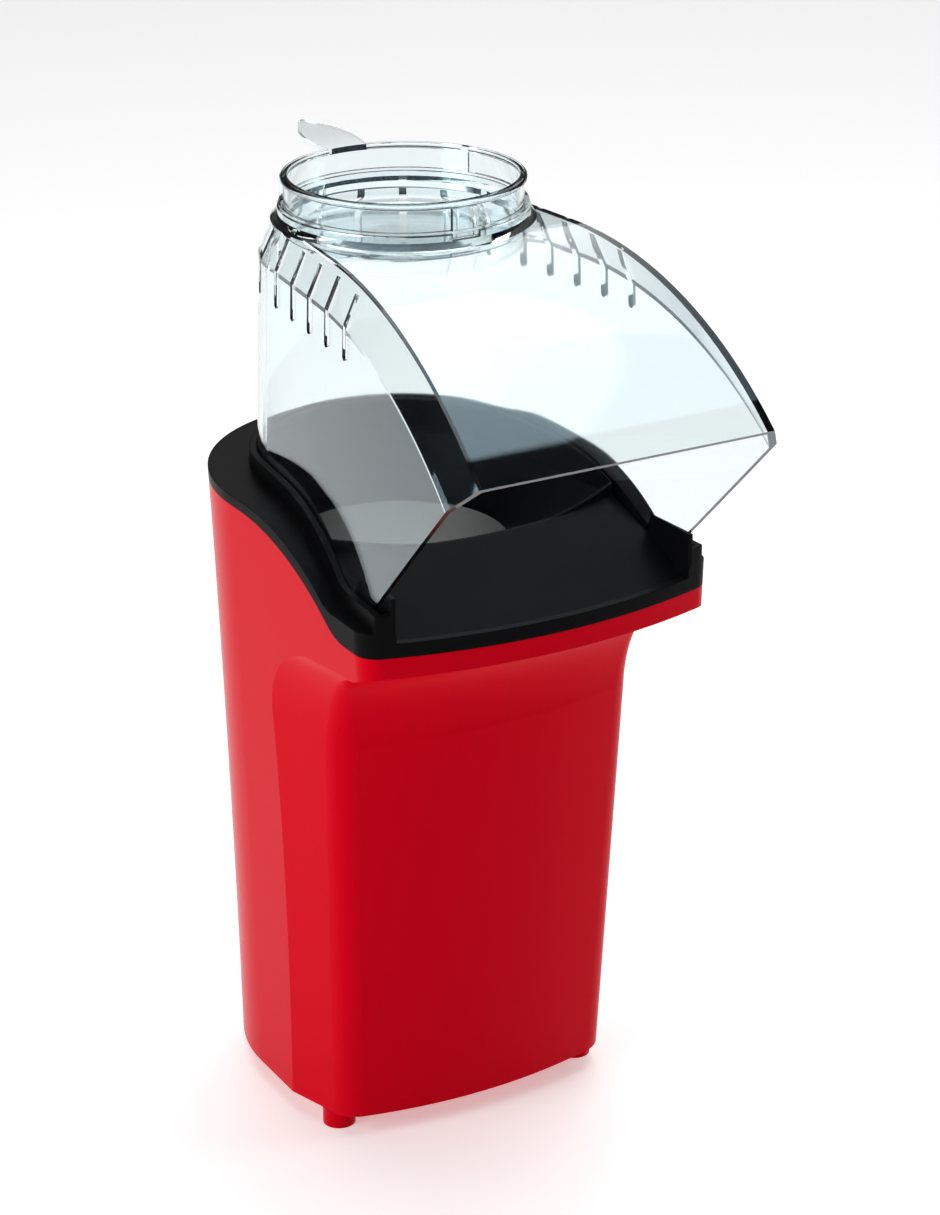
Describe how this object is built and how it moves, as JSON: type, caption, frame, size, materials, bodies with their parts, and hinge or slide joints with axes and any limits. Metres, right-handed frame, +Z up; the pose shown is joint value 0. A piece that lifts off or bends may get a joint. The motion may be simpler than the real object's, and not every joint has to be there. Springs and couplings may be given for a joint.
{
  "type": "hot-air popcorn maker",
  "caption": "Countertop hot-air popcorn maker: upright body with a fan-heated popping chamber, a clear chute hood and a clear measuring cup that serves as its lid.",
  "frame": {"origin": "centre of the bounding box at the level the feet stand on", "axes": "+Z up; -Y towards the front, where the popcorn leaves the hood; X = 0 is the plane the outside is symmetric about"},
  "size_m": [0.1676, 0.273, 0.4191],
  "materials": {
    "red_plastic": "gloss",
    "black_plastic": "fine-grained satin",
    "clear_plastic": "clear, polished",
    "chamber_aluminium": "drawn, satin",
    "zinc_steel": "zinc plated",
    "screw_steel": "zinc plated",
    "core_steel": "laminated, oiled",
    "fan_aluminium": "pressed",
    "mica": "flaky sheet",
    "resistance_wire": "heat-darkened",
    "silicone": "matte",
    "black_rubber": "matte",
    "copper": "enamelled",
    "bronze": "sintered",
    "ferrite": "matte ceramic",
    "carbon": "matte",
    "white_nylon": "matte",
    "circuit_board": "matte laminate"
  },
  "bodies": {
    "base": {"body_shell": "red_plastic", "base_cover": "red_plastic", "top_trim": "black_plastic", "popping_chamber": "chamber_aluminium", "chamber_gasket": "silicone", "heater_housing": "zinc_steel", "mica_frame": "mica", "heating_coil": "resistance_wire", "dropper_coil": "resistance_wire", "thermostat": "zinc_steel", "thermal_fuse": "white_nylon", "fan_housing": "zinc_steel", "motor_can": "zinc_steel", "motor_end_cap": "black_plastic", "upper_bearing": "bronze", "lower_bearing": "bronze", "motor_magnets": "ferrite", "motor_brushes": "carbon", "motor_bracket": "zinc_steel", "vibration_bushes": "black_rubber", "bracket_screws": "screw_steel", "motor_screws": "screw_steel", "base_screws": "screw_steel", "trim_screws": "screw_steel", "housing_screws": "screw_steel", "fan_housing_screws": "screw_steel", "rectifier_board": "circuit_board", "rectifier_diodes": "carbon", "terminal_block": "white_nylon", "terminal_screws": "screw_steel", "cord_gland": "black_rubber", "cord_clamp": "white_nylon", "clamp_screws": "screw_steel"},
    "hood": {"hood": "clear_plastic"},
    "cap": {"measuring_cap": "clear_plastic"},
    "rotor": {"motor_shaft": "screw_steel", "armature_core": "core_steel", "armature_windings": "copper", "commutator": "copper", "impeller": "fan_aluminium", "impeller_nut": "screw_steel"}
  },
  "joints": [
    {"name": "hood_lift", "type": "slide", "parent": "base", "child": "hood", "axis": [0, 0, 1], "range_m": [0, 0.15]},
    {"name": "cap_lift", "type": "slide", "parent": "hood", "child": "cap", "axis": [0, 0, 1], "range_m": [0, 0.06]},
    {"name": "rotor_spin", "type": "hinge", "parent": "base", "child": "rotor", "pos_m": [0, 0.04755, 0.07], "axis": [0, 0, 1], "continuous": true}
  ]
}
